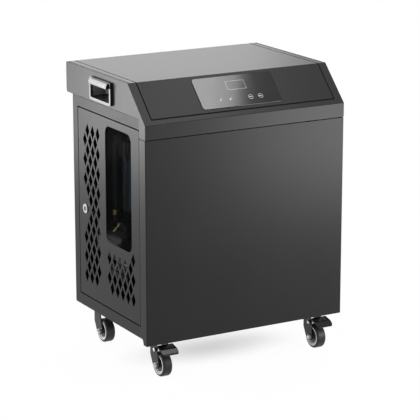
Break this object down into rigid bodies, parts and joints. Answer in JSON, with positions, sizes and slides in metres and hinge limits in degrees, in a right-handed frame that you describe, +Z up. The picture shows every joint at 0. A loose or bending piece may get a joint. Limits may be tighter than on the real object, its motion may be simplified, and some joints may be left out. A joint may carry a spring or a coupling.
{
  "type": "wheeled water chiller cabinet",
  "caption": "Wheeled sheet-metal water chiller cabinet with a sloped glass touch panel, a vented service door with a window, recessed handles and rear hose unions.",
  "frame": {"origin": "on the floor, under the middle of the overall box", "axes": "+X to the right seen from the front, +Y from the front to the rear, +Z up"},
  "size_m": [0.524, 0.398, 0.648],
  "materials": {
    "cabinet_paint": "satin",
    "inner_paint": "satin",
    "touch_glass": "gloss",
    "housing_plastic": "matte",
    "circuit_board": "satin",
    "gloss_black": "gloss",
    "bright_trim": "polished",
    "smoked_pane": "gloss",
    "black_rubber": "matte",
    "zinc_steel": "satin",
    "wheel_plastic": "satin",
    "wheel_tread": "matte",
    "pedal_black": "satin",
    "pump_plastic": "satin",
    "clear_bowl": "gloss",
    "filter_fibre": "matte",
    "brass": "satin",
    "insulation": "matte",
    "compressor_paint": "satin",
    "fin_aluminium": "satin",
    "shroud_paint": "satin",
    "copper": "satin"
  },
  "bodies": {
    "cabinet": {"base_pan": "cabinet_paint", "front_panel": "cabinet_paint", "left_side_frame": "cabinet_paint", "right_side_panel": "cabinet_paint", "hood": "cabinet_paint", "top_cover": "cabinet_paint", "rear_panel": "cabinet_paint", "partition": "inner_paint", "control_glass": "touch_glass", "control_housing": "housing_plastic", "electrical_box": "housing_plastic", "power_inlet": "housing_plastic", "control_board": "circuit_board", "display_module": "circuit_board", "left_handle_cup": "gloss_black", "right_handle_cup": "gloss_black", "left_handle_trim": "bright_trim", "right_handle_trim": "bright_trim", "compressor_feet": "black_rubber", "water_hoses": "black_rubber", "hinge_pins": "zinc_steel", "caster_plates": "zinc_steel", "water_pump": "pump_plastic", "filter_head": "pump_plastic", "water_inlet": "pump_plastic", "water_outlet": "pump_plastic", "filter_bowl": "clear_bowl", "filter_cartridge": "filter_fibre", "hose_ferrules": "brass", "heat_exchanger": "insulation", "compressor": "compressor_paint", "condenser": "fin_aluminium", "fan_shroud": "shroud_paint", "fan_motor": "shroud_paint", "refrigerant_lines": "copper"},
    "door": {"service_door": "cabinet_paint", "window_gasket": "black_rubber", "window_pane": "smoked_pane", "lock_barrel": "bright_trim"},
    "lock": {"lock_plug": "bright_trim", "lock_cam": "zinc_steel"},
    "fan": {"fan_blades": "housing_plastic"},
    "front_left_swivel": {"front_left_fork": "zinc_steel", "front_left_axle": "zinc_steel"},
    "front_left_wheel": {"front_left_wheel_hub": "wheel_plastic", "front_left_tyre": "wheel_tread"},
    "front_right_swivel": {"front_right_fork": "zinc_steel", "front_right_axle": "zinc_steel"},
    "front_right_wheel": {"front_right_wheel_hub": "wheel_plastic", "front_right_tyre": "wheel_tread"},
    "rear_left_swivel": {"rear_left_fork": "zinc_steel", "rear_left_axle": "zinc_steel"},
    "rear_left_wheel": {"rear_left_wheel_hub": "wheel_plastic", "rear_left_tyre": "wheel_tread"},
    "rear_right_swivel": {"rear_right_fork": "zinc_steel", "rear_right_axle": "zinc_steel"},
    "rear_right_wheel": {"rear_right_wheel_hub": "wheel_plastic", "rear_right_tyre": "wheel_tread"},
    "front_left_pedal": {"front_left_brake_pedal": "pedal_black"},
    "front_right_pedal": {"front_right_brake_pedal": "pedal_black"}
  },
  "joints": [
    {"name": "door_hinge", "type": "hinge", "parent": "cabinet", "child": "door", "pos_m": [-0.2464, -0.1447, 0.3375], "axis": [0, 0, 1], "range_deg": [0, 110]},
    {"name": "lock_turn", "type": "hinge", "parent": "door", "child": "lock", "pos_m": [-0.24, 0.1086, 0.3258], "axis": [1, 0, 0], "range_deg": [0, 90]},
    {"name": "fan_spin", "type": "hinge", "parent": "cabinet", "child": "fan", "pos_m": [0.1, 0.1118, 0.2595], "axis": [0, 1, 0], "continuous": true},
    {"name": "front_left_swivel_turn", "type": "hinge", "parent": "cabinet", "child": "front_left_swivel", "pos_m": [-0.199, -0.141, 0.081], "axis": [0, 0, 1], "continuous": true},
    {"name": "front_left_wheel_roll", "type": "hinge", "parent": "front_left_swivel", "child": "front_left_wheel", "pos_m": [-0.199, -0.157, 0.0275], "axis": [1, 0, 0], "continuous": true},
    {"name": "front_right_swivel_turn", "type": "hinge", "parent": "cabinet", "child": "front_right_swivel", "pos_m": [0.199, -0.141, 0.081], "axis": [0, 0, 1], "continuous": true},
    {"name": "front_right_wheel_roll", "type": "hinge", "parent": "front_right_swivel", "child": "front_right_wheel", "pos_m": [0.199, -0.157, 0.0275], "axis": [1, 0, 0], "continuous": true},
    {"name": "rear_left_swivel_turn", "type": "hinge", "parent": "cabinet", "child": "rear_left_swivel", "pos_m": [-0.199, 0.134, 0.081], "axis": [0, 0, 1], "continuous": true},
    {"name": "rear_left_wheel_roll", "type": "hinge", "parent": "rear_left_swivel", "child": "rear_left_wheel", "pos_m": [-0.199, 0.118, 0.0275], "axis": [1, 0, 0], "continuous": true},
    {"name": "rear_right_swivel_turn", "type": "hinge", "parent": "cabinet", "child": "rear_right_swivel", "pos_m": [0.199, 0.134, 0.081], "axis": [0, 0, 1], "continuous": true},
    {"name": "rear_right_wheel_roll", "type": "hinge", "parent": "rear_right_swivel", "child": "rear_right_wheel", "pos_m": [0.199, 0.118, 0.0275], "axis": [1, 0, 0], "continuous": true},
    {"name": "front_left_brake_press", "type": "hinge", "parent": "front_left_swivel", "child": "front_left_pedal", "pos_m": [-0.199, -0.157, 0.063], "axis": [1, 0, 0], "range_deg": [0, 8]},
    {"name": "front_right_brake_press", "type": "hinge", "parent": "front_right_swivel", "child": "front_right_pedal", "pos_m": [0.199, -0.157, 0.063], "axis": [1, 0, 0], "range_deg": [0, 8]}
  ]
}
